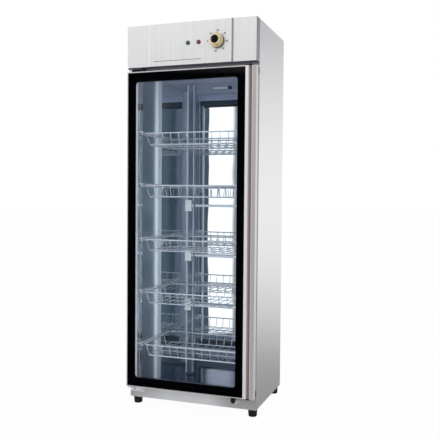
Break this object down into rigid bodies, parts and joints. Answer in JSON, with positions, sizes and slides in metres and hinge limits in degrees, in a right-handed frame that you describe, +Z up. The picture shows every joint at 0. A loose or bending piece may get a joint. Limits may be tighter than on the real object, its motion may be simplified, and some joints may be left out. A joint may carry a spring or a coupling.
{
  "type": "dish sterilizer cabinet",
  "caption": "Tall insulated steel cabinet with a hinged glass door, sliding wire dish baskets, quartz heating tubes, a timer knob and signal lamps.",
  "frame": {"origin": "on the floor under the centre of the cabinet's overall width and depth, at the underside of the feet", "axes": "+Z up, -Y out of the door side (front), +X to the right seen from the front"},
  "size_m": [0.6, 0.502, 1.705],
  "materials": {
    "side_panels": "brushed stainless steel, satin",
    "base_steel": "plain satin steel",
    "galvanised": "galvanised sheet, dull",
    "header": "brushed stainless steel, light",
    "front_frame": "satin steel",
    "liner": "mirror-polished stainless sheet",
    "liner_floor": "satin stainless sheet",
    "insulation": "mineral wool board",
    "foot_rubber": "black rubber",
    "zinc": "zinc plated",
    "hinge_steel": "bright satin steel",
    "door_metal": "satin stainless edge strip",
    "handle_metal": "satin anodised extrusion",
    "door_glass": "toughened clear glass",
    "glass_border": "black print behind the glass",
    "cap_plastic": "black plastic",
    "bush_plastic": "pale bearing plastic",
    "seal_carrier": "pale grey plastic profile",
    "seal_rubber": "light grey soft seal",
    "buffer_rubber": "black rubber",
    "lamp_green": "green translucent lens",
    "lamp_red": "red translucent lens",
    "lamp_bezel": "dark ring",
    "dark_plastic": "dark moulded plastic",
    "knob_gold": "gold plated",
    "knob_black": "black insert",
    "shaft_steel": "bright steel",
    "ceramic": "white ceramic",
    "quartz": "quartz tube",
    "wire_chrome": "chromed wire",
    "stop_nylon": "white nylon"
  },
  "bodies": {
    "cabinet": {"side_panel_left": "side_panels", "side_panel_right": "side_panels", "top_panel": "side_panels", "back_panel": "galvanised", "base_pan": "galvanised", "base_fascia": "base_steel", "front_posts": "front_frame", "lintel": "front_frame", "sill": "front_frame", "cable_gland": "foot_rubber", "screws": "zinc", "feet": "foot_rubber", "foot_studs": "zinc", "insulation": "insulation", "liner_sides": "liner", "liner_back": "liner", "liner_ceiling": "liner", "liner_floor": "liner_floor", "hinge_bracket_bottom": "hinge_steel", "hinge_bracket_top": "hinge_steel", "hinge_pins": "shaft_steel", "lock_barrel": "shaft_steel", "lock_stop_pin": "stop_nylon", "header_fascia": "header", "lamp_green_lens": "lamp_green", "lamp_red_lens": "lamp_red", "lamp_bezels": "lamp_bezel", "lamp_bodies": "dark_plastic", "timer_body": "dark_plastic", "control_deck": "galvanised", "terminal_block": "stop_nylon", "thermal_cutout": "dark_plastic", "uprights": "hinge_steel", "basket_brackets": "wire_chrome", "heater_channels": "hinge_steel", "ceramic_holders": "ceramic", "heating_tubes": "quartz", "thermostat_bulb": "shaft_steel"},
    "door": {"door_glass": "door_glass", "door_border": "glass_border", "door_frame_left": "door_metal", "door_frame_top": "door_metal", "door_frame_bottom": "door_metal", "door_handle_profile": "handle_metal", "handle_caps": "cap_plastic", "seal_carrier": "seal_carrier", "door_seal": "seal_rubber", "corner_buffers": "buffer_rubber", "hinge_bushes": "bush_plastic"},
    "timer_dial": {"timer_knob": "knob_gold", "timer_knob_insert": "knob_black", "timer_shaft": "shaft_steel"},
    "lock": {"lock_spindle": "shaft_steel", "lock_tongue": "hinge_steel", "lock_knob": "cap_plastic"},
    "basket_1_body": {"basket_1": "wire_chrome"},
    "basket_2_body": {"basket_2": "wire_chrome"},
    "basket_3_body": {"basket_3": "wire_chrome"},
    "basket_4_body": {"basket_4": "wire_chrome"},
    "basket_5_body": {"basket_5": "wire_chrome"}
  },
  "joints": [
    {"name": "door_hinge", "type": "hinge", "parent": "cabinet", "child": "door", "pos_m": [-0.288, -0.201, 0.798], "axis": [0, 0, -1], "range_deg": [0, 110]},
    {"name": "timer_turn", "type": "hinge", "parent": "cabinet", "child": "timer_dial", "pos_m": [0.125, -0.216, 1.615], "axis": [0, 1, 0], "range_deg": [0, 270]},
    {"name": "lock_turn", "type": "hinge", "parent": "cabinet", "child": "lock", "pos_m": [0.2005, -0.181, 0.07], "axis": [0, -1, 0], "range_deg": [0, 90]},
    {"name": "basket_1_slide", "type": "slide", "parent": "cabinet", "child": "basket_1_body", "axis": [0, -1, 0], "range_m": [0, 0.032]},
    {"name": "basket_2_slide", "type": "slide", "parent": "cabinet", "child": "basket_2_body", "axis": [0, -1, 0], "range_m": [0, 0.032]},
    {"name": "basket_3_slide", "type": "slide", "parent": "cabinet", "child": "basket_3_body", "axis": [0, -1, 0], "range_m": [0, 0.032]},
    {"name": "basket_4_slide", "type": "slide", "parent": "cabinet", "child": "basket_4_body", "axis": [0, -1, 0], "range_m": [0, 0.032]},
    {"name": "basket_5_slide", "type": "slide", "parent": "cabinet", "child": "basket_5_body", "axis": [0, -1, 0], "range_m": [0, 0.032]}
  ]
}
